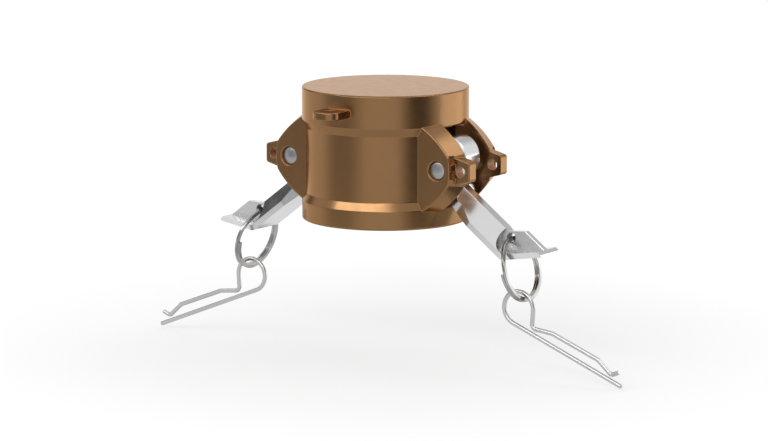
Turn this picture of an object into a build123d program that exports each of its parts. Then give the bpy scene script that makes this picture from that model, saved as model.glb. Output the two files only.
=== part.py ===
from build123d import *
import os
from math import cos, radians, sin, sqrt, tan

os.makedirs("parts", exist_ok=True)

# The cap's axis is Z, its mouth is the plane z = 0 and its closed end is up.
# The two levers stand along X, and their pins run along Y. All sizes are in millimetres.

# Cap casting, outside the bore that the gasket's groove gives
CAP_WALL = 3.45
BAND_STEP = 1.6
CAP_HEIGHT = 59.0
RIM_BAND = 8.3
RIM_SLOPE = 3.7
CROWN_BAND = 14.5
CROWN_SLOPE = 3.5
END_WALL = 6.5
TOP_ROUNDING = 0.6
RIM_ROUNDING = 0.8
MOUTH_BEVEL = 0.5

# Gasket and the groove that holds it under the closed end
GASKET_OUTER_RADIUS = 33.35
GASKET_BREADTH = 7.95
GASKET_THICKNESS = 6.35
GASKET_ROUNDING = 0.4
GROOVE_SIDE_GAP = 0.15
GROOVE_LIP_GAP = 0.4
GROOVE_UNDERCUT = 1.55

# Pivot pins, and the ears that hold them
PIVOT_STANDOFF = 3.7
PIN_RADIUS = 4.0
PIN_RUNNING_GAP = 0.05
PIN_RECESS = 1.0
PIN_BEVEL = 0.3
PIN_HOLE_BEVEL = 0.45
EAR_THICKNESS = 8.87
EAR_DRAFT = 18.0
EAR_REACH = 6.8
EAR_FLAT = 3.3
EAR_CORNER = (6.2, 6.1)
EAR_ROOT = (-7.9, 18.8)
EAR_BULGE = 1.07
EAR_BURY = 12.0
EAR_ROUNDING = 0.7

# Clip lugs on the ears, with the hole that takes the safety clip
LUG_THICKNESS = 5.37
LUG_REACH = 14.9
LUG_TIP_HALF = 4.2
LUG_ROOT_HALF = 8.1
LUG_CORNER = 1.4
LUG_ROUNDING = 0.6
CLIP_HOLE_RADIUS = 2.4
CLIP_HOLE_REACH = 10.4

# Pockets cored in the sloping edge of each ear, as spans above the pivot
POCKET_SPANS = ((3.1, 6.8), (-3.1, 0.8))
POCKET_FLOOR = 4.9
POCKET_SIDE_WALL = 0.7

# Window through the cap's wall between the ears
WINDOW_ABOVE = 17.5
WINDOW_BELOW = 13.0
WINDOW_CORNER = 2.0

# Eyelet for the keeper chain
EYELET_HALF_WIDTH = 6.2
EYELET_REACH = 13.3
EYELET_THICKNESS = 3.5
EYELET_DROP = 8.15
EYELET_CORNER = 4.7
EYELET_ROUNDING = 0.6
EYELET_HOLE_RADIUS = 2.9
EYELET_HOLE_REACH = 6.2

# Cam lever, in its own frame: the pin is the origin, the arm runs along +X and +Z faces outward.
# At rest, with the lever open, the arm hangs this far below the horizontal.
ARM_DROP = 37.0
LEVER_HALF_WIDTH = 9.3
SLOT_SIDE_GAP = 0.9
CAM_RADIUS = 10.0
CAM_CENTRE = (-4.56, 1.07)
CAM_END = 118.4
HUB_HALF_WIDTH = 7.0
HUB_ROUNDING = 2.0
HUB_BACK_REACH = 6.8
HUB_BACK_HEIGHT = 8.5
HUB_BACK_ROUNDING = 5.0
NECK_FILLET = 2.0
NECK_TOP_END = 7.6
NECK_FOOT = 11.0
UNDERSIDE_START = (4.0, -11.5)
UNDERSIDE_END = 15.0
ARM_FACE = -11.4
ARM_THICKNESS = 2.55
TAB_ANGLE = 45.0
TAB_THICKNESS = 2.5
TAB_REACH = 14.9
TIP_REACH = 58.3
TIP_LIP = 0.74
TIP_HALF_WIDTH = 7.6
TIP_CORNER = 1.2
BEND_ROUNDING = 3.0
INNER_BEND_ROUNDING = 1.0
FLARE_START = 14.1
FLARE_END = 22.5

# Sloping top of the arm, its round relief, and the fin that carries the ring's hole.
# The relief, the hole and the fin's nose are set back from the lever's tip.
BAR_TOP_HALF = 2.5
BAR_TOP = -4.75
BAR_START = 6.0
BAR_ROUNDING = 0.5
RELIEF_RADIUS = 6.2
RELIEF_SETBACK = 16.8
FIN_BASE_HALF = 2.6
FIN_TOP_HALF = 1.5
FIN_STEP = 0.2
FIN_RAMP = 40.7
FIN_NOSE_SETBACK = 21.1
FIN_NOSE_ROUNDING = 1.0
FIN_PEAK_ROUNDING = 1.5
FIN_ROUNDING = 0.4
HOLE_SETBACK = 18.45
HOLE_HEIGHT = -6.17
RING_HOLE_RADIUS = 2.2

# Split ring: two turns of flattened wire
RING_RADIUS = 13.6
WIRE_DEPTH = 2.0
WIRE_WIDTH = 1.3
WIRE_CORNER = 0.35
RING_LEAN = 14.5
RING_SEAT_GAP = 0.2
CROSSING_START = 106.0
CROSSING_TURN = 71.0
CROSSING_SPANS = 6
WIRE_END_GAP = 4.0

# Safety clip: round wire bent in one upright plane, measured from the middle of its loop
CLIP_WIRE_RADIUS = 1.0
CLIP_LOOP_RADIUS = 7.4
CLIP_OFFSET = -2.8
CLIP_HANG_ANGLE = 239.0
CLIP_SEAT_GAP = 0.2
CLIP_LEG_ANGLE = -21.7
CLIP_LEG_LENGTH = 58.9
CLIP_LOOP_END = -4.0
CLIP_BENDS = ((6.85, -8.15, 2.2), (17.4, -9.35, 6.0), (40.4, -18.25, 3.0), (46.9, -24.05, 1.8))
CLIP_TIP = (50.7, -22.55)
CLIP_END_BEVEL = 0.3

# Sizes that follow from those above
GROOVE_RADIUS = GASKET_OUTER_RADIUS + GROOVE_SIDE_GAP
BORE_RADIUS = GROOVE_RADIUS - GROOVE_UNDERCUT
GASKET_INNER_RADIUS = GASKET_OUTER_RADIUS - GASKET_BREADTH
WAIST_RADIUS = BORE_RADIUS + CAP_WALL
BAND_RADIUS = WAIST_RADIUS + BAND_STEP
WAIST_BOTTOM = RIM_BAND + RIM_SLOPE
WAIST_TOP = CAP_HEIGHT - CROWN_BAND - CROWN_SLOPE
CEILING = CAP_HEIGHT - END_WALL
BORE_DEPTH = CEILING - GASKET_THICKNESS - GROOVE_LIP_GAP
PIVOT_X = WAIST_RADIUS + PIVOT_STANDOFF
PIVOT_Z = (WAIST_BOTTOM + WAIST_TOP) / 2
SLOT_HALF = LEVER_HALF_WIDTH + SLOT_SIDE_GAP
EAR_OUTSIDE = SLOT_HALF + EAR_THICKNESS
ARM_UNDERSIDE = ARM_FACE - ARM_THICKNESS
ARM_BEND = TIP_REACH - TAB_REACH
TAB_RISE = tan(radians(TAB_ANGLE))
TAB_STEP = TAB_THICKNESS / sin(radians(TAB_ANGLE))
UNDER_BEND = ARM_BEND + TAB_STEP - ARM_THICKNESS / TAB_RISE
TIP_LOW = ARM_UNDERSIDE + (TIP_REACH - UNDER_BEND) * TAB_RISE
TAB_CREST = TIP_LOW + TIP_LIP
FIN_TOP = TAB_CREST - FIN_STEP
RING_HOLE = (TIP_REACH - HOLE_SETBACK, HOLE_HEIGHT)
RING_HALF_WIDTH = WIRE_WIDTH
RING_INNER_RADIUS = RING_RADIUS - WIRE_DEPTH / 2


def flat(*corners):
    """Closed flat outline from corners given as (across, up, rounding)."""
    points = [(across, up) for across, up, rounding in corners]
    return make_face(FilletPolyline(*points, radius=[corner[2] for corner in corners], close=True))


def across_width(outline, half_width):
    """Carry a side outline, drawn in X and Z, to both sides of the middle plane."""
    return extrude(Plane.XZ * outline, amount=half_width, both=True)


def rod(x, z, radius, half_length):
    """Cylinder along Y through a place in X and Z."""
    return Location((x, 0, z), (90, 0, 0)) * Cylinder(radius, 2 * half_length)


def edges_at_side(solid, side, low):
    """Edges of both faces that lie at +side and -side of the middle plane, above a height."""
    return [
        edge for edge in solid.edges()
        if abs(abs(edge.center().Y) - side) < 0.01 and edge.center().Z > low
    ]


def from_arm(along, outward):
    """Place in the cap's X and Z of a point on the right lever's side."""
    turn = radians(ARM_DROP)
    x = PIVOT_X + along * cos(turn) + outward * sin(turn)
    z = PIVOT_Z - along * sin(turn) + outward * cos(turn)
    return x, z


def to_arm(x, z):
    """The same turn the other way, for a step given in the cap's X and Z."""
    turn = radians(ARM_DROP)
    return x * cos(turn) - z * sin(turn), x * sin(turn) + z * cos(turn)


def cap_shell():
    """Outside of the casting: a band at the mouth, a waist and a deeper crown."""
    profile = flat(
        (0, 0, 0),
        (BAND_RADIUS, 0, RIM_ROUNDING),
        (BAND_RADIUS, RIM_BAND, RIM_ROUNDING),
        (WAIST_RADIUS, WAIST_BOTTOM, RIM_ROUNDING),
        (WAIST_RADIUS, WAIST_TOP, RIM_ROUNDING),
        (BAND_RADIUS, WAIST_TOP + CROWN_SLOPE, RIM_ROUNDING),
        (BAND_RADIUS, CAP_HEIGHT, TOP_ROUNDING),
        (0, CAP_HEIGHT, 0),
    )
    return revolve(Plane.XZ * profile, Axis.Z)


def cap_hollow():
    """Inside of the casting: the bore, its bevelled mouth and the gasket's groove."""
    profile = flat(
        (0, 0, 0),
        (BORE_RADIUS + MOUTH_BEVEL, 0, 0),
        (BORE_RADIUS, MOUTH_BEVEL, 0),
        (BORE_RADIUS, BORE_DEPTH, 0),
        (GROOVE_RADIUS, BORE_DEPTH, 0),
        (GROOVE_RADIUS, CEILING, 0),
        (0, CEILING, 0),
    )
    return revolve(Plane.XZ * profile, Axis.Z)


def ear():
    """One drafted ear with its clip lug, at the +X side and the +Y side."""
    root_x, root_z = PIVOT_X + EAR_ROOT[0], EAR_ROOT[1]
    corner_x, corner_z = PIVOT_X + EAR_CORNER[0], EAR_CORNER[1]
    inboard = root_x - EAR_BURY
    upper = SagittaArc((root_x, root_z), (corner_x, corner_z), EAR_BULGE)
    shoulder = Line((corner_x, corner_z), (PIVOT_X + EAR_REACH, EAR_FLAT))
    nose = Line((PIVOT_X + EAR_REACH, EAR_FLAT), (PIVOT_X + EAR_REACH, -EAR_FLAT))
    half = upper + shoulder
    back = Polyline((root_x, root_z), (inboard, root_z), (inboard, -root_z), (root_x, -root_z))
    outline = make_face(half + nose + mirror(half, Plane.XZ) + back)
    face = Pos(0, EAR_OUTSIDE, PIVOT_Z) * (Plane.XZ * outline)
    plate = extrude(face, amount=EAR_THICKNESS, taper=-EAR_DRAFT)
    outer_edges = plate.faces().sort_by(Axis.Y)[-1].edges()
    inner_x = inboard + EAR_ROUNDING
    plate = fillet([edge for edge in outer_edges if edge.center().X > inner_x], EAR_ROUNDING)
    return plate + lug() - pockets()


def lug():
    """Flat tongue on the slot side of an ear, pierced for the safety clip."""
    outline = flat(
        (PIVOT_X, LUG_ROOT_HALF, 0),
        (PIVOT_X + LUG_REACH, LUG_TIP_HALF, LUG_CORNER),
        (PIVOT_X + LUG_REACH, -LUG_TIP_HALF, LUG_CORNER),
        (PIVOT_X, -LUG_ROOT_HALF, 0),
    )
    face = Pos(0, SLOT_HALF, PIVOT_Z) * (Plane.XZ * outline)
    tongue = extrude(face, amount=-LUG_THICKNESS)
    outer_edges = tongue.faces().sort_by(Axis.Y)[-1].edges()
    return fillet([edge for edge in outer_edges if edge.center().X > PIVOT_X + 1], LUG_ROUNDING)


def pockets():
    """Two recesses in the sloping edge of an ear, above its lug, with a rib between them."""
    low_y = SLOT_HALF + LUG_THICKNESS
    high_y = EAR_OUTSIDE - POCKET_SIDE_WALL
    cuts = []
    for low, high in POCKET_SPANS:
        centre = (PIVOT_X + POCKET_FLOOR + LUG_REACH / 2, (low_y + high_y) / 2, PIVOT_Z + (low + high) / 2)
        cuts.append(Pos(*centre) * Box(LUG_REACH, high_y - low_y, high - low))
    return cuts


def window():
    """Opening through the wall between the ears, for the cam."""
    outline = RectangleRounded(2 * SLOT_HALF, WINDOW_ABOVE + WINDOW_BELOW, WINDOW_CORNER)
    middle = PIVOT_Z + (WINDOW_ABOVE - WINDOW_BELOW) / 2
    inside = BORE_RADIUS - CAP_WALL
    return extrude(Plane.YZ.offset(inside) * Pos(0, middle) * outline, amount=PIVOT_X - inside)


def eyelet():
    """Round-nosed tongue on the crown, pierced for the keeper chain."""
    middle = CAP_HEIGHT - EYELET_DROP
    root = -BAND_RADIUS + BAND_STEP
    tip = -BAND_RADIUS - EYELET_REACH
    outline = flat(
        (-EYELET_HALF_WIDTH, root, 0),
        (-EYELET_HALF_WIDTH, tip, EYELET_CORNER),
        (EYELET_HALF_WIDTH, tip, EYELET_CORNER),
        (EYELET_HALF_WIDTH, root, 0),
    )
    tongue = extrude(Pos(0, 0, middle - EYELET_THICKNESS / 2) * outline, amount=EYELET_THICKNESS)
    rims = tongue.faces().filter_by(Axis.Z).edges()
    tongue = fillet([edge for edge in rims if edge.center().Y < -BAND_RADIUS], EYELET_ROUNDING)
    hole = Cylinder(EYELET_HOLE_RADIUS, 2 * EYELET_THICKNESS)
    return tongue - Pos(0, -BAND_RADIUS - EYELET_HOLE_REACH, middle) * hole


def cap_body():
    """The bronze casting, machined."""
    right_ears = ear() + mirror(ear(), Plane.XZ)
    body = cap_shell() + right_ears + mirror(right_ears, Plane.YZ) + eyelet()
    body -= cap_hollow()
    for side in (1, -1):
        body -= Rot(0, 0, 90 - 90 * side) * window()
        body -= rod(side * PIVOT_X, PIVOT_Z, PIN_RADIUS, EAR_OUTSIDE)
        body -= rod(side * (PIVOT_X + CLIP_HOLE_REACH), PIVOT_Z, CLIP_HOLE_RADIUS, EAR_OUTSIDE)
    circles = ShapeList(edges_at_side(body, EAR_OUTSIDE, 0)).filter_by(GeomType.CIRCLE)
    return chamfer([edge for edge in circles if edge.radius < PIN_RADIUS + PIN_HOLE_BEVEL], PIN_HOLE_BEVEL)


def gasket():
    """Flat ring of rubber against the closed end."""
    section = flat(
        (GASKET_INNER_RADIUS, CEILING - GASKET_THICKNESS, GASKET_ROUNDING),
        (GASKET_OUTER_RADIUS, CEILING - GASKET_THICKNESS, GASKET_ROUNDING),
        (GASKET_OUTER_RADIUS, CEILING, GASKET_ROUNDING),
        (GASKET_INNER_RADIUS, CEILING, GASKET_ROUNDING),
    )
    return revolve(Plane.XZ * section, Axis.Z)


def pivot_pin():
    """Plain pin pressed across both ears of the right side."""
    pin = Cylinder(PIN_RADIUS, 2 * (EAR_OUTSIDE - PIN_RECESS))
    pin = chamfer(pin.edges().filter_by(GeomType.CIRCLE), PIN_BEVEL)
    return Location((PIVOT_X, 0, PIVOT_Z), (90, 0, 0)) * pin


def lever_hub():
    """Cam round the pin, with the neck that runs into the arm."""
    cam_arc = CenterArc(CAM_CENTRE, CAM_RADIUS, 0, CAM_END)
    front = CAM_CENTRE[0] + CAM_RADIUS
    run = (NECK_FOOT - UNDERSIDE_START[0]) / (UNDERSIDE_END - UNDERSIDE_START[0])
    neck_under = UNDERSIDE_START[1] + run * (ARM_UNDERSIDE - UNDERSIDE_START[1])
    rest = FilletPolyline(
        cam_arc @ 0,
        (front, BAR_TOP),
        (NECK_TOP_END, BAR_TOP),
        (NECK_FOOT, bar_level(HUB_HALF_WIDTH)),
        (NECK_FOOT, neck_under),
        UNDERSIDE_START,
        to_arm(-HUB_BACK_REACH, 0),
        to_arm(-HUB_BACK_REACH, HUB_BACK_HEIGHT),
        cam_arc @ 1,
        radius=[NECK_FILLET, 0, 0, 0, 0, HUB_BACK_ROUNDING, 0],
    )
    hub = across_width(make_face(cam_arc + rest), HUB_HALF_WIDTH)
    return fillet(edges_at_side(hub, HUB_HALF_WIDTH, 0), HUB_ROUNDING)


def bar_level(half_width):
    """Height of the arm's sloping side where it lies this far from the middle plane."""
    steepness = (BAR_TOP - ARM_FACE) / (LEVER_HALF_WIDTH - BAR_TOP_HALF)
    return BAR_TOP - (half_width - BAR_TOP_HALF) * steepness


def lever_plan():
    """Solid that gives neck, arm and tab their one outline seen from above."""
    half = [
        (0, HUB_HALF_WIDTH, 0),
        (FLARE_START, HUB_HALF_WIDTH, BEND_ROUNDING),
        (FLARE_END, LEVER_HALF_WIDTH, BEND_ROUNDING),
        (ARM_BEND, LEVER_HALF_WIDTH, BEND_ROUNDING),
        (TIP_REACH, TIP_HALF_WIDTH, TIP_CORNER),
    ]
    other = [(along, -across, rounding) for along, across, rounding in reversed(half)]
    return extrude(flat(*half, *other), amount=TIP_REACH, both=True)


def lever_blade():
    """Flat underside of the arm and the thumb tab bent up from it."""
    crest_start = ARM_BEND + (TAB_CREST - ARM_FACE) / TAB_RISE
    side = flat(
        (UNDERSIDE_START[0], UNDERSIDE_START[1], 0),
        (UNDERSIDE_END, ARM_UNDERSIDE, BEND_ROUNDING),
        (UNDER_BEND, ARM_UNDERSIDE, BEND_ROUNDING),
        (TIP_REACH, TIP_LOW, 0),
        (TIP_REACH - TIP_LIP / TAB_RISE, TAB_CREST, 0),
        (crest_start, TAB_CREST, 0),
        (ARM_BEND, ARM_FACE, INNER_BEND_ROUNDING),
        (BAR_START, ARM_FACE, 0),
    )
    return across_width(side, LEVER_HALF_WIDTH)


def lever_bar():
    """Sloping top of the arm, stopped by a round relief that ends level with the arm's face."""
    section = flat(
        (-LEVER_HALF_WIDTH, ARM_FACE, 0),
        (LEVER_HALF_WIDTH, ARM_FACE, 0),
        (BAR_TOP_HALF, BAR_TOP, BAR_ROUNDING),
        (-BAR_TOP_HALF, BAR_TOP, BAR_ROUNDING),
    )
    end = TIP_REACH - RELIEF_SETBACK
    bar = extrude(Pos(BAR_START, 0, 0) * (Plane.YZ * section), amount=end - BAR_START)
    return bar - rod(end, ARM_FACE + RELIEF_RADIUS, RELIEF_RADIUS, LEVER_HALF_WIDTH)


def lever_fin():
    """Drafted web on the middle plane that ties the bar to the thumb tab."""
    buried = ARM_FACE - ARM_THICKNESS / 2
    start = TIP_REACH - RELIEF_SETBACK - RELIEF_RADIUS - FIN_BASE_HALF
    nose = TIP_REACH - FIN_NOSE_SETBACK
    peak = nose + (FIN_TOP - BAR_TOP) / tan(radians(FIN_RAMP))
    in_tab = ARM_BEND + TAB_STEP / 2
    outline = flat(
        (start, BAR_TOP, 0),
        (nose, BAR_TOP, FIN_NOSE_ROUNDING),
        (peak, FIN_TOP, FIN_PEAK_ROUNDING),
        (in_tab + (FIN_TOP - ARM_FACE) / TAB_RISE, FIN_TOP, 0),
        (in_tab, buried, 0),
        (start, buried, 0),
    )
    taper = (FIN_BASE_HALF - FIN_TOP_HALF) / (FIN_TOP - ARM_FACE)
    buried_half = FIN_BASE_HALF + (ARM_FACE - buried) * taper
    section = flat(
        (-buried_half, buried, 0),
        (buried_half, buried, 0),
        (FIN_TOP_HALF, FIN_TOP, FIN_ROUNDING),
        (-FIN_TOP_HALF, FIN_TOP, FIN_ROUNDING),
    )
    return across_width(outline, buried_half) & extrude(Plane.YZ * section, amount=TIP_REACH)


def cam_lever():
    """Right lever as it hangs open."""
    lever = ((lever_blade() + lever_bar() + lever_fin()) & lever_plan()) + lever_hub()
    lever -= rod(0, 0, PIN_RADIUS + PIN_RUNNING_GAP, LEVER_HALF_WIDTH)
    lever -= rod(RING_HOLE[0], RING_HOLE[1], RING_HOLE_RADIUS, LEVER_HALF_WIDTH)
    return Location((PIVOT_X, 0, PIVOT_Z), (0, ARM_DROP, 0)) * lever


def ring_seat():
    """How far the wire's middle lies from the middle of the lever's hole."""
    dip = RING_INNER_RADIUS - sqrt(RING_INNER_RADIUS**2 - FIN_BASE_HALF**2)
    corner = RING_HALF_WIDTH - WIRE_CORNER
    return sqrt((RING_HOLE_RADIUS - RING_SEAT_GAP)**2 - corner**2) - WIRE_DEPTH / 2 - dip


def ring_place(distance):
    """Place in the cap's X and Z at a distance down the ring from the lever's hole."""
    x, z = from_arm(*RING_HOLE)
    return x + distance * sin(radians(RING_LEAN)), z - distance * cos(radians(RING_LEAN))


def wire_section(turn, level):
    """Section of the ring's wire at an angle round the ring and a level along its axis."""
    outline = Pos(RING_RADIUS, level) * RectangleRounded(WIRE_DEPTH, WIRE_WIDTH, WIRE_CORNER)
    return Rot(0, 0, turn) * (Plane.XZ * outline)


def split_ring():
    """One wire in two flat turns, with a crossing where it climbs from one to the other."""
    crossing_end = CROSSING_START + CROSSING_TURN
    coil_turn = 360 - CROSSING_TURN - WIRE_END_GAP
    level = WIRE_WIDTH / 2
    lower = revolve(wire_section(crossing_end + WIRE_END_GAP, -level), Axis.Z, coil_turn)
    upper = revolve(wire_section(crossing_end, level), Axis.Z, coil_turn)
    parts = [step / CROSSING_SPANS for step in range(CROSSING_SPANS + 1)]
    crossing = loft([
        wire_section(CROSSING_START + part * CROSSING_TURN, -level * cos(radians(180 * part)))
        for part in parts
    ])
    x, z = ring_place(ring_seat() + RING_RADIUS)
    lean = radians(RING_LEAN)
    place = Plane(origin=(x, 0, z), x_dir=(0, 1, 0), z_dir=(cos(lean), 0, sin(lean)))
    return place.location * (lower + crossing + upper)


def clip_loop_centre():
    """Middle of the clip's loop, in X and Z, with the loop hung on the ring's wire."""
    rise = RING_RADIUS - sqrt(RING_RADIUS**2 - CLIP_OFFSET**2)
    x, z = ring_place(ring_seat() + 2 * RING_RADIUS - rise)
    between = radians(CLIP_HANG_ANGLE - 90 - RING_LEAN)
    flat_depth = WIRE_DEPTH / 2 - WIRE_CORNER
    flat_width = RING_HALF_WIDTH - WIRE_CORNER
    wire_reach = flat_depth * abs(cos(between)) + flat_width * abs(sin(between)) + WIRE_CORNER
    hang = CLIP_LOOP_RADIUS - CLIP_WIRE_RADIUS - wire_reach - CLIP_SEAT_GAP
    return x + hang * cos(radians(CLIP_HANG_ANGLE)), z + hang * sin(radians(CLIP_HANG_ANGLE))


def safety_clip():
    """Round wire: a straight leg, a loop, and a bowed leg that springs against the first."""
    leg = radians(CLIP_LEG_ANGLE)
    loop_start = CLIP_LEG_ANGLE + 270
    loop = CenterArc((0, 0), CLIP_LOOP_RADIUS, loop_start, CLIP_LOOP_END - loop_start)
    foot = loop @ 0
    straight = Line((foot.X + CLIP_LEG_LENGTH * cos(leg), foot.Y + CLIP_LEG_LENGTH * sin(leg)), (foot.X, foot.Y))
    bends = [(across, up) for across, up, radius in CLIP_BENDS]
    bowed = FilletPolyline(loop @ 1, *bends, CLIP_TIP, radius=[bend[2] for bend in CLIP_BENDS])
    path = Wire([straight] + [loop] + bowed.edges())
    section = Plane(origin=straight @ 0, z_dir=straight % 0) * Circle(CLIP_WIRE_RADIUS)
    wire = sweep(section, path)
    wire = chamfer(wire.faces().filter_by(GeomType.PLANE).edges(), CLIP_END_BEVEL)
    x, z = clip_loop_centre()
    return Plane(origin=(x, CLIP_OFFSET, z), x_dir=(1, 0, 0), z_dir=(0, -1, 0)).location * wire


def save(name, shape):
    """Write one piece under its node's name."""
    solids = shape.solids()
    piece = solids[0] if len(solids) == 1 else Compound(children=solids)
    piece.label = name
    export_step(piece, f"parts/{name}.step")


save("cap_body", cap_body())
save("gasket", gasket())
for node, make in (
    ("cam_lever", cam_lever),
    ("pivot_pin", pivot_pin),
    ("split_ring", split_ring),
    ("safety_clip", safety_clip),
):
    right = make()
    save(f"{node}_right", right)
    save(f"{node}_left", mirror(right, Plane.YZ))
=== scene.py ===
import bpy
from math import cos, pi, radians, sin

from mathutils import Matrix, Vector


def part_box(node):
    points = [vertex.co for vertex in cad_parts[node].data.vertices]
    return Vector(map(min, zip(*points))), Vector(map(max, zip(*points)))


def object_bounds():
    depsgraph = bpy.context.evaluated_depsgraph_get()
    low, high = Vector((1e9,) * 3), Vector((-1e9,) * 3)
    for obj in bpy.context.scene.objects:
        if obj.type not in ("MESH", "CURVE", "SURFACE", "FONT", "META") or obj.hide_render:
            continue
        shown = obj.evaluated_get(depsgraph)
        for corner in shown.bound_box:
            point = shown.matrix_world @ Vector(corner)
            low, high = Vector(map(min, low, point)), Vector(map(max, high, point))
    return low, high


# Sizes are in metres and angles in degrees. Colours are as they look in plain light.

# Camera, as it stood in the photograph
PHOTO_WIDTH = 768
SENSOR_WIDTH = 36.0
FOCAL_PIXELS = 3688.6
CAMERA_AZIMUTH = 33.98
CAMERA_ELEVATION = 9.72
CAMERA_DISTANCE = 1.6389
AIM_RIGHT = -0.00066
AIM_UP = -0.00155

# Cast bronze, with its tint where it is seen at a low angle, lighter edges that are partly wear and partly
# a painted highlight, and a paler, rough colour painted in its recesses as painted bounce light
BRONZE = (0.220, 0.115, 0.045)
BRONZE_DEEP = (0.187, 0.096, 0.037)
BRONZE_WORN_HIGHLIT_EDGE = (0.46, 0.27, 0.13)
BRONZE_TINT = (1.0, 0.72, 0.50)
BRONZE_PAINTED_BOUNCE = (0.40, 0.165, 0.062)

# Cast stainless steel of the levers, with lighter edges that are partly wear and partly a painted
# highlight, and a darker, rough colour painted in its recesses as painted shade
STAINLESS = (0.68, 0.68, 0.68)
STAINLESS_DEEP = (0.58, 0.58, 0.59)
STAINLESS_WORN_HIGHLIT_EDGE = (0.82, 0.82, 0.82)
STAINLESS_PAINTED_SHADE = (0.36, 0.36, 0.37)

# Steel of the pins, clips and rings
PIN_STEEL = (0.34, 0.34, 0.35)
PIN_STEEL_DEEP = (0.28, 0.28, 0.29)
WIRE_STEEL = (0.54, 0.54, 0.54)
WIRE_STEEL_DEEP = (0.44, 0.44, 0.44)
RING_STEEL = (0.53, 0.52, 0.51)
RING_STEEL_DEEP = (0.17, 0.16, 0.15)

# Rubber of the gasket, clean and dusty
RUBBER = (0.020, 0.020, 0.021)
RUBBER_DUSTY = (0.050, 0.049, 0.047)
RUBBER_ROUGH = (0.55, 0.75)
RUBBER_BUMP = 0.25

# Noise: how many spots stand on a metre, how fine its detail is, and the span of its values in use
CLOUDS_PER_METRE = 55.0
PATCHES_PER_METRE = 240.0
BLOOM_PER_METRE = 90.0
RUBBER_GRAIN = 2600.0
BROAD_DETAIL = 4.0
PATCH_DETAIL = 3.0
GRAIN_DETAIL = 2.0
NOISE_ROUGHNESS = 0.5
GRAIN_ROUGHNESS = 0.6
CLOUD_SPAN = (0.35, 0.65)
NOISE_SPAN = (0.3, 0.7)
BLOOM_SPAN = (0.4, 0.7)

# Depth of the surface's grain, and how far the grain changes the metal's tone
GRAIN_DEPTH = 0.0001
GRAIN_TONE = 0.15

# Rounding of sharp edges, and the cosine of its turn where the lighter edge colour, partly wear and partly
# a painted highlight, begins and where it is full
EDGE_RADIUS = 0.0004
EDGE_SAMPLES = 16
WEAR_AND_HIGHLIGHT_SPAN = (0.98, 0.80)

# Light and shade painted in the recesses of a casting: how far to look for a wall opposite, how open the
# surface is where the painted colour is full and where it ends, and its own finish there
RECESS_PAINT_REACH = 0.04
RECESS_PAINT_SAMPLES = 16
RECESS_PAINT_SPAN = (0.34, 0.70)
RECESS_PAINT_ROUGH = 0.55
RECESS_PAINT_METAL = 0.25

# Roughness of the thin lacquer on the bronze, and rise of the pins' domed ends
LACQUER_ROUGH = 0.2
PIN_RISE = 0.0007

# Floor: gap under the object, own shade, and glow from near the object to where its fade ends; the lower
# glow near the object is a painted shade round it
FLOOR_GAP = 0.001
FLOOR_SIZE = 12.0
FLOOR_SHADE = 0.34
FLOOR_GLOW_AND_PAINTED_SHADE = (0.56, 0.76)
FLOOR_FADE = (0.10, 0.45)

# World light on the object, the height that the lamps face, and the dark cards
WORLD_LEVEL = 0.86
AIM_HEIGHT = 0.02
CARD_SHADE = 0.02
CARD_CORE = 0.15
CARD_TOP = 0.15


def view_axes():
    """Right, up and back directions of the camera."""
    azimuth, elevation = radians(CAMERA_AZIMUTH), radians(CAMERA_ELEVATION)
    back = Vector((sin(azimuth) * cos(elevation), -cos(azimuth) * cos(elevation), sin(elevation)))
    right = Vector((cos(azimuth), sin(azimuth), 0.0))
    return right, back.cross(right), back


def make_camera():
    """Camera at the photograph's place and lens."""
    right, up, back = view_axes()
    data = bpy.data.cameras.new("camera")
    data.sensor_width = SENSOR_WIDTH
    data.lens = FOCAL_PIXELS / PHOTO_WIDTH * SENSOR_WIDTH
    camera = bpy.data.objects.new("camera", data)
    bpy.context.collection.objects.link(camera)
    place = right * AIM_RIGHT + up * AIM_UP + back * CAMERA_DISTANCE
    turn = Matrix((right, up, back)).transposed().to_4x4()
    camera.matrix_world = Matrix.Translation(place) @ turn
    bpy.context.scene.camera = camera


class Nodes:
    """Short way to make and join shader nodes."""

    def __init__(self, tree):
        self.tree = tree

    def fill(self, socket, value):
        """Join a socket to an output of another node, or set it to a plain value."""
        if isinstance(value, bpy.types.NodeSocket):
            self.tree.links.new(value, socket)
        else:
            socket.default_value = value

    def add(self, kind, **inputs):
        """New node with sockets filled by name, with an underscore for each space in a name."""
        node = self.tree.nodes.new(kind)
        for name, value in inputs.items():
            self.fill(node.inputs[name.replace("_", " ")], value)
        return node

    def join(self, kind, *values):
        """New node with its first sockets filled in order."""
        node = self.tree.nodes.new(kind)
        for socket, value in zip(node.inputs, values):
            self.fill(socket, value)
        return node

    def math(self, operation, *values):
        """Result of one sum."""
        node = self.join("ShaderNodeMath", *values)
        node.operation = operation
        return node.outputs["Value"]

    def vector_math(self, operation, *vectors):
        """Number that comes from one or two vectors."""
        node = self.join("ShaderNodeVectorMath", *vectors)
        node.operation = operation
        return node.outputs["Value"]

    def noise(self, place, scale, detail, roughness=NOISE_ROUGHNESS):
        """Noise at a place, around one half."""
        node = self.add("ShaderNodeTexNoise", Vector=place, Scale=scale, Detail=detail, Roughness=roughness)
        return node.outputs["Fac"]

    def remap(self, value, span, new_span):
        """Carry a value from one span to another, and hold it at the ends."""
        return self.join("ShaderNodeMapRange", value, *span, *new_span).outputs["Result"]

    def mix(self, factor, first, second):
        """Colour between two others."""
        node = self.tree.nodes.new("ShaderNodeMix")
        node.data_type = "RGBA"
        sockets = [socket for socket in node.inputs if socket.enabled]
        for socket, value in zip(sockets, (factor, first, second)):
            self.fill(socket, (*value, 1.0) if isinstance(value, tuple) else value)
        return [socket for socket in node.outputs if socket.enabled][0]


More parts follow.
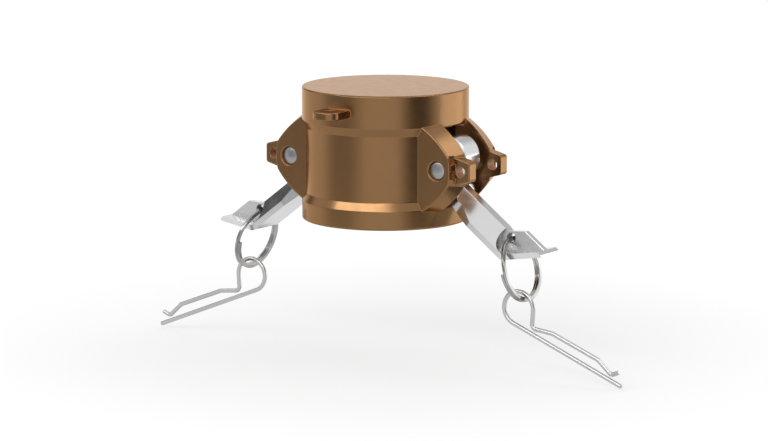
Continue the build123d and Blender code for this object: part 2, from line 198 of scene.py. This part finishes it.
def new_material(name):
    """Empty node material with its output node."""
    material = bpy.data.materials.new(name)
    material.use_nodes = True
    material.node_tree.nodes.clear()
    nodes = Nodes(material.node_tree)
    return material, nodes, nodes.add("ShaderNodeOutputMaterial").inputs["Surface"]


def rounded_normal(nodes):
    """Normal of the same surface with its sharp edges rounded."""
    bevel = nodes.add("ShaderNodeBevel", Radius=EDGE_RADIUS)
    bevel.samples = EDGE_SAMPLES
    return bevel.outputs["Normal"]


def worn_lit_edge_mask(nodes, normal, rounded):
    """Mask that is 1 on outer and inner edges, from how far a rounded normal leaves the true one; it places
    a lighter edge colour, partly wear and partly a painted highlight.
    """
    return nodes.remap(nodes.vector_math("DOT_PRODUCT", rounded, normal), WEAR_AND_HIGHLIGHT_SPAN, (0.0, 1.0))


def painted_recess_mask(nodes):
    """Mask that is 1 in slots and deep corners of the piece, where a colour is painted as bounce light or
    as shade.
    """
    hidden = nodes.add("ShaderNodeAmbientOcclusion", Distance=RECESS_PAINT_REACH)
    hidden.samples = RECESS_PAINT_SAMPLES
    hidden.only_local = True
    return nodes.remap(hidden.outputs["AO"], RECESS_PAINT_SPAN, (1.0, 0.0))


def dome(nodes, place, middle, radius, rise):
    """Height of a shallow dome about a line along Y, on both sides of the cap."""
    across = nodes.add("ShaderNodeSeparateXYZ", Vector=place).outputs
    side = nodes.math("SUBTRACT", nodes.math("ABSOLUTE", across["X"]), middle[0])
    level = nodes.math("SUBTRACT", across["Z"], middle[1])
    square = nodes.math("ADD", nodes.math("POWER", side, 2.0), nodes.math("POWER", level, 2.0))
    return nodes.math("MULTIPLY", square, -rise / radius ** 2)


def metal(name, base, deep, rough, grain, bump=0.02, clouds=0.3, wear=0.0, edge=None, rounding=True,
          tint=(1.0, 1.0, 1.0), lacquer=0.0, skin=None, domed=None):
    """Metal with clouds and grain in its tone, patches in its gloss and grain in its surface.

    Its edges may be lighter, partly as wear and partly as a painted highlight, and rounded; its recesses
    may get painted light or shade with a rougher finish; and it may be domed.
    """
    material, nodes, surface = new_material(name)
    place = nodes.add("ShaderNodeTexCoord").outputs["Object"]
    cloud = nodes.noise(place, CLOUDS_PER_METRE, BROAD_DETAIL)
    patch = nodes.noise(place, PATCHES_PER_METRE, PATCH_DETAIL)
    fine = nodes.noise(place, grain, GRAIN_DETAIL, GRAIN_ROUGHNESS)
    tone = nodes.mix(nodes.remap(cloud, CLOUD_SPAN, (0.0, clouds)), base, deep)
    tone = nodes.mix(nodes.remap(fine, NOISE_SPAN, (0.0, GRAIN_TONE)), tone, deep)
    gloss = nodes.remap(patch, NOISE_SPAN, rough)
    shine = 1.0
    normal = nodes.add("ShaderNodeNewGeometry").outputs["Normal"]
    if wear:
        rounded = rounded_normal(nodes)
        # Lighter colour on edges: partly wear, partly a painted highlight
        wear_and_highlight = nodes.math("MULTIPLY", worn_lit_edge_mask(nodes, normal, rounded), wear)
        tone = nodes.mix(wear_and_highlight, tone, edge)
        normal = rounded if rounding else normal
    if skin:
        # Painted light and shade: recesses get a paler colour on the bronze, as painted bounce light, and a
        # darker one on the levers, as painted shade
        recess_share = painted_recess_mask(nodes)
        tone = nodes.mix(recess_share, tone, skin)
        gloss = nodes.remap(recess_share, (0.0, 1.0), (gloss, RECESS_PAINT_ROUGH))
        shine = nodes.remap(recess_share, (0.0, 1.0), (1.0, RECESS_PAINT_METAL))
    if domed:
        crown = nodes.add("ShaderNodeBump", Distance=1.0, Height=dome(nodes, place, *domed), Normal=normal)
        normal = crown.outputs["Normal"]
    relief = nodes.add("ShaderNodeBump", Strength=bump, Distance=GRAIN_DEPTH, Height=fine, Normal=normal)
    shader = nodes.add("ShaderNodeBsdfPrincipled", Base_Color=tone, Metallic=shine, Roughness=gloss,
                       Specular_Tint=(*tint, 1.0), Coat_Weight=lacquer, Coat_Roughness=LACQUER_ROUGH,
                       Normal=relief.outputs["Normal"])
    nodes.fill(surface, shader.outputs["BSDF"])
    return material


def rubber(name):
    """Matt black rubber with a dusty bloom and a moulded grain."""
    material, nodes, surface = new_material(name)
    place = nodes.add("ShaderNodeTexCoord").outputs["Object"]
    bloom = nodes.remap(nodes.noise(place, BLOOM_PER_METRE, BROAD_DETAIL), BLOOM_SPAN, (0.0, 1.0))
    fine = nodes.noise(place, RUBBER_GRAIN, GRAIN_DETAIL)
    relief = nodes.add("ShaderNodeBump", Strength=RUBBER_BUMP, Distance=GRAIN_DEPTH, Height=fine)
    shader = nodes.add("ShaderNodeBsdfPrincipled", Base_Color=nodes.mix(bloom, RUBBER, RUBBER_DUSTY),
                       Roughness=nodes.remap(bloom, (0.0, 1.0), RUBBER_ROUGH),
                       Normal=relief.outputs["Normal"])
    nodes.fill(surface, shader.outputs["BSDF"])
    return material


def pin_dome():
    """Middle, radius and rise of the dome on a pin's end."""
    low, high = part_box("pivot_pin_right")
    middle = ((low[0] + high[0]) / 2, (low[2] + high[2]) / 2)
    return middle, (high[0] - low[0]) / 2, PIN_RISE


def dress(frame):
    """Give every node of the frame its finish."""
    finishes = {
        # The lighter edges of the bronze, levers and pins are partly wear and partly a painted highlight
        "cap_body": metal("cast_bronze", BRONZE, BRONZE_DEEP, rough=(0.21, 0.26), grain=2600.0, clouds=0.2,
                          wear=0.7, edge=BRONZE_WORN_HIGHLIT_EDGE, tint=BRONZE_TINT, lacquer=0.3, skin=BRONZE_PAINTED_BOUNCE),
        "cam_lever": metal("cast_stainless", STAINLESS, STAINLESS_DEEP, rough=(0.18, 0.24), grain=5200.0,
                           wear=0.4, edge=STAINLESS_WORN_HIGHLIT_EDGE, rounding=False, skin=STAINLESS_PAINTED_SHADE),
        "pivot_pin": metal("pin_steel", PIN_STEEL, PIN_STEEL_DEEP, rough=(0.24, 0.32), grain=3000.0,
                           bump=0.06, wear=0.5, edge=STAINLESS, domed=pin_dome()),
        "safety_clip": metal("spring_wire", WIRE_STEEL, WIRE_STEEL_DEEP, rough=(0.28, 0.34), grain=6000.0),
        "split_ring": metal("ring_wire", RING_STEEL, RING_STEEL_DEEP, rough=(0.12, 0.18), grain=6000.0,
                            clouds=0.9),
        "gasket": rubber("gasket_rubber"),
    }
    for name, piece in frame["nodes"].items():
        kind = name.replace("_right", "").replace("_left", "")
        piece.data.materials.clear()
        piece.data.materials.append(finishes[kind])


def seen_ray(nodes):
    """1 for rays from the camera, and for those that gloss or glass sends on."""
    rays = nodes.add("ShaderNodeLightPath").outputs
    seen = nodes.math("MAXIMUM", rays["Is Camera Ray"], rays["Is Glossy Ray"])
    return nodes.math("MAXIMUM", seen, rays["Is Transmission Ray"])


def matt(nodes, shade):
    """Plain matt grey."""
    return nodes.add("ShaderNodeBsdfDiffuse", Color=(shade, shade, shade, 1.0)).outputs["BSDF"]


def make_floor(low):
    """Pale floor that reads white, a little greyer round the object as painted shade, and keeps a soft
    shadow.
    """
    material, nodes, surface = new_material("floor")
    place = nodes.add("ShaderNodeTexCoord").outputs["Object"]
    # Painted shade: the glow is lower near the object, so the floor is greyer round it
    level = nodes.remap(nodes.vector_math("LENGTH", place), FLOOR_FADE, FLOOR_GLOW_AND_PAINTED_SHADE)
    strength = nodes.math("MULTIPLY", seen_ray(nodes), level)
    glow = nodes.add("ShaderNodeEmission", Color=(1.0, 1.0, 1.0, 1.0), Strength=strength)
    both = nodes.join("ShaderNodeAddShader", glow.outputs["Emission"], matt(nodes, FLOOR_SHADE))
    nodes.fill(surface, both.outputs["Shader"])
    bpy.ops.mesh.primitive_plane_add(size=FLOOR_SIZE, location=(0, 0, low - FLOOR_GAP))
    floor = bpy.context.object
    floor.name = "floor"
    floor.data.materials.append(material)


def place_round(azimuth, distance, height):
    """Place at an angle from the camera's side, seen from above, and the way from there to the cap."""
    angle = radians(CAMERA_AZIMUTH + azimuth)
    spot = Vector((sin(angle) * distance, -cos(angle) * distance, height))
    return spot, Vector((0.0, 0.0, AIM_HEIGHT)) - spot


def make_lamp(name, azimuth, distance, height, width, tall, brightness):
    """Soft box that faces the cap; its brightness is 1 where it looks as bright as white paper."""
    spot, way = place_round(azimuth, distance, height)
    data = bpy.data.lights.new(name, "AREA")
    data.shape = "RECTANGLE"
    data.size, data.size_y = width, tall
    data.energy = brightness * width * tall * pi
    lamp = bpy.data.objects.new(name, data)
    bpy.context.collection.objects.link(lamp)
    lamp.location = spot
    lamp.rotation_euler = way.to_track_quat("-Z", "Y").to_euler()
    lamp.visible_camera = False


def soft_edge(nodes, across):
    """1 in the middle of a span from 0 to 1, and down to 0 at both its ends."""
    off = nodes.math("ABSOLUTE", nodes.math("SUBTRACT", across, 0.5))
    return nodes.remap(off, (CARD_CORE, 0.5), (1.0, 0.0))


def make_card(name, azimuth, distance, width, low, high, cover):
    """Dark gauze beside the object with soft edges, seen only in reflections."""
    spot, way = place_round(azimuth, distance, (low + high) / 2)
    way.z = 0.0
    material, nodes, surface = new_material(name)
    place = nodes.add("ShaderNodeTexCoord").outputs["Generated"]
    across = nodes.add("ShaderNodeSeparateXYZ", Vector=place).outputs["X"]
    thickness = nodes.math("MULTIPLY", soft_edge(nodes, across), cover)
    clear = nodes.add("ShaderNodeBsdfTransparent").outputs["BSDF"]
    both = nodes.join("ShaderNodeMixShader", thickness, clear, matt(nodes, CARD_SHADE))
    nodes.fill(surface, both.outputs["Shader"])
    bpy.ops.mesh.primitive_plane_add(size=1.0, location=spot)
    card = bpy.context.object
    card.name = name
    card.scale = (width, high - low, 1.0)
    card.rotation_euler = way.to_track_quat("Z", "Y").to_euler()
    card.data.materials.append(material)
    card.visible_camera = False
    card.visible_shadow = False
    card.visible_diffuse = False


def make_world():
    """White world that lights the object at a plain level."""
    world = bpy.data.worlds.new("studio")
    bpy.context.scene.world = world
    world.use_nodes = True
    nodes = Nodes(world.node_tree)
    sky = world.node_tree.nodes["Background"]
    nodes.fill(sky.inputs["Color"], (1.0, 1.0, 1.0, 1.0))
    nodes.fill(sky.inputs["Strength"], nodes.remap(seen_ray(nodes), (0.0, 1.0), (WORLD_LEVEL, 1.0)))


def make_studio(low):
    """World, lamps, cards and floor."""
    make_world()
    make_lamp("side", azimuth=104, distance=0.4, height=-0.005, width=0.36, tall=0.11, brightness=1.15)
    make_lamp("high", azimuth=92, distance=0.65, height=0.72, width=0.45, tall=0.35, brightness=1.9)
    make_lamp("front", azimuth=-34, distance=0.8, height=0.58, width=1.6, tall=0.2, brightness=4.9)
    make_card("card_right", azimuth=45, distance=0.34, width=0.38, low=low, high=CARD_TOP, cover=0.84)
    make_card("card_left", azimuth=-62, distance=0.34, width=0.50, low=low, high=CARD_TOP, cover=0.54)
    make_card("card_back_left", azimuth=-136, distance=0.60, width=0.40, low=0.08, high=0.45, cover=0.95)
    make_card("card_back_right", azimuth=144, distance=0.60, width=0.50, low=0.20, high=0.62, cover=0.40)
    make_floor(low)


bpy.context.scene.view_settings.view_transform = "Standard"
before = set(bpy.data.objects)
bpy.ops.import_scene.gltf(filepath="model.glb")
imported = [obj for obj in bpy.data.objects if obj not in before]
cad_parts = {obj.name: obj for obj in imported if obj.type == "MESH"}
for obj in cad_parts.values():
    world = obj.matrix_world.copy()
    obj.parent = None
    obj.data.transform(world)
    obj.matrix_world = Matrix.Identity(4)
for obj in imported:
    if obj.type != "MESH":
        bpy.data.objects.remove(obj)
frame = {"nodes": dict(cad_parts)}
cad_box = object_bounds()
make_camera()
dress(frame)
make_studio(cad_box[0].z)
